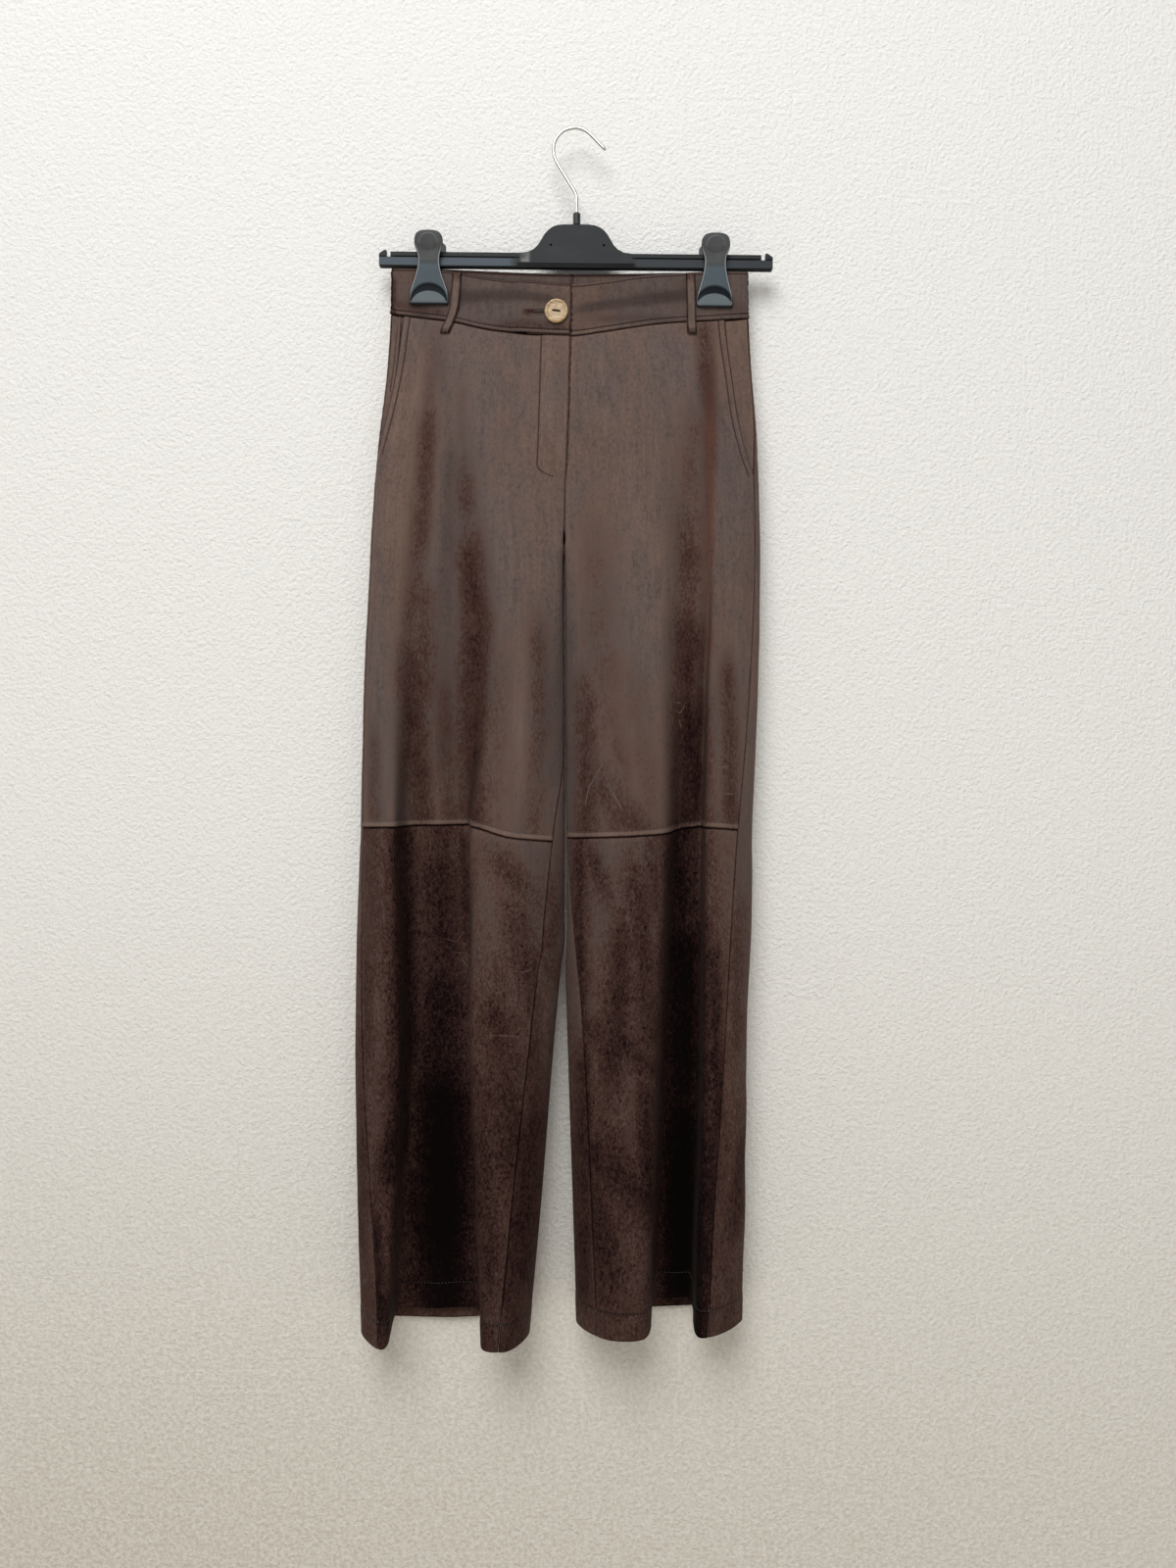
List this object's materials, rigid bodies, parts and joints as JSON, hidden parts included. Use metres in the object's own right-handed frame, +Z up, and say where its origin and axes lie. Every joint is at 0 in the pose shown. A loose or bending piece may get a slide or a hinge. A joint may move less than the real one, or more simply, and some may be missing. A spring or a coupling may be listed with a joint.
{
  "type": "faux leather trousers on a clip hanger",
  "caption": "High-waisted wide-leg faux leather trousers with knee seams, slanted pockets and a wooden button, hanging from a clip hanger.",
  "frame": {"origin": "the highest point inside the hanger's hook, where the hook rests on its rail or nail", "axes": "+Z up; -Y is the front of the trousers; +X is the viewer's right, which is the wearer's left"},
  "size_m": [0.4013, 0.0758, 1.16],
  "materials": {
    "faux_leather": "matt distressed brown faux suede with worn lighter patches",
    "zip_tape": "dark woven tape",
    "button_wood": "satin light brown shell or wood",
    "hanger_plastic": "black moulded plastic, semi-gloss",
    "clip_plastic": "black moulded plastic, satin",
    "hook_steel": "bright drawn wire"
  },
  "bodies": {
    "root": {"front_thigh_left": "faux_leather", "front_thigh_right": "faux_leather", "front_shin_left": "faux_leather", "front_shin_right": "faux_leather", "back_left": "faux_leather", "back_right": "faux_leather", "pocket_side_left": "faux_leather", "pocket_side_right": "faux_leather", "fly_shield": "faux_leather", "zip": "zip_tape", "waistband_front_left": "faux_leather", "waistband_front_right": "faux_leather", "waistband_back_left": "faux_leather", "waistband_back_right": "faux_leather", "belt_loop_front_left": "faux_leather", "belt_loop_front_right": "faux_leather", "belt_loop_back_left": "faux_leather", "belt_loop_back_middle": "faux_leather", "belt_loop_back_right": "faux_leather", "button": "button_wood", "hanger_bar": "hanger_plastic", "hook": "hook_steel", "hook_socket": "hanger_plastic", "clip_left_front_jaw": "clip_plastic", "clip_left_back_jaw": "clip_plastic", "clip_left_saddle": "clip_plastic", "clip_right_front_jaw": "clip_plastic", "clip_right_back_jaw": "clip_plastic", "clip_right_saddle": "clip_plastic"}
  },
  "joints": []
}
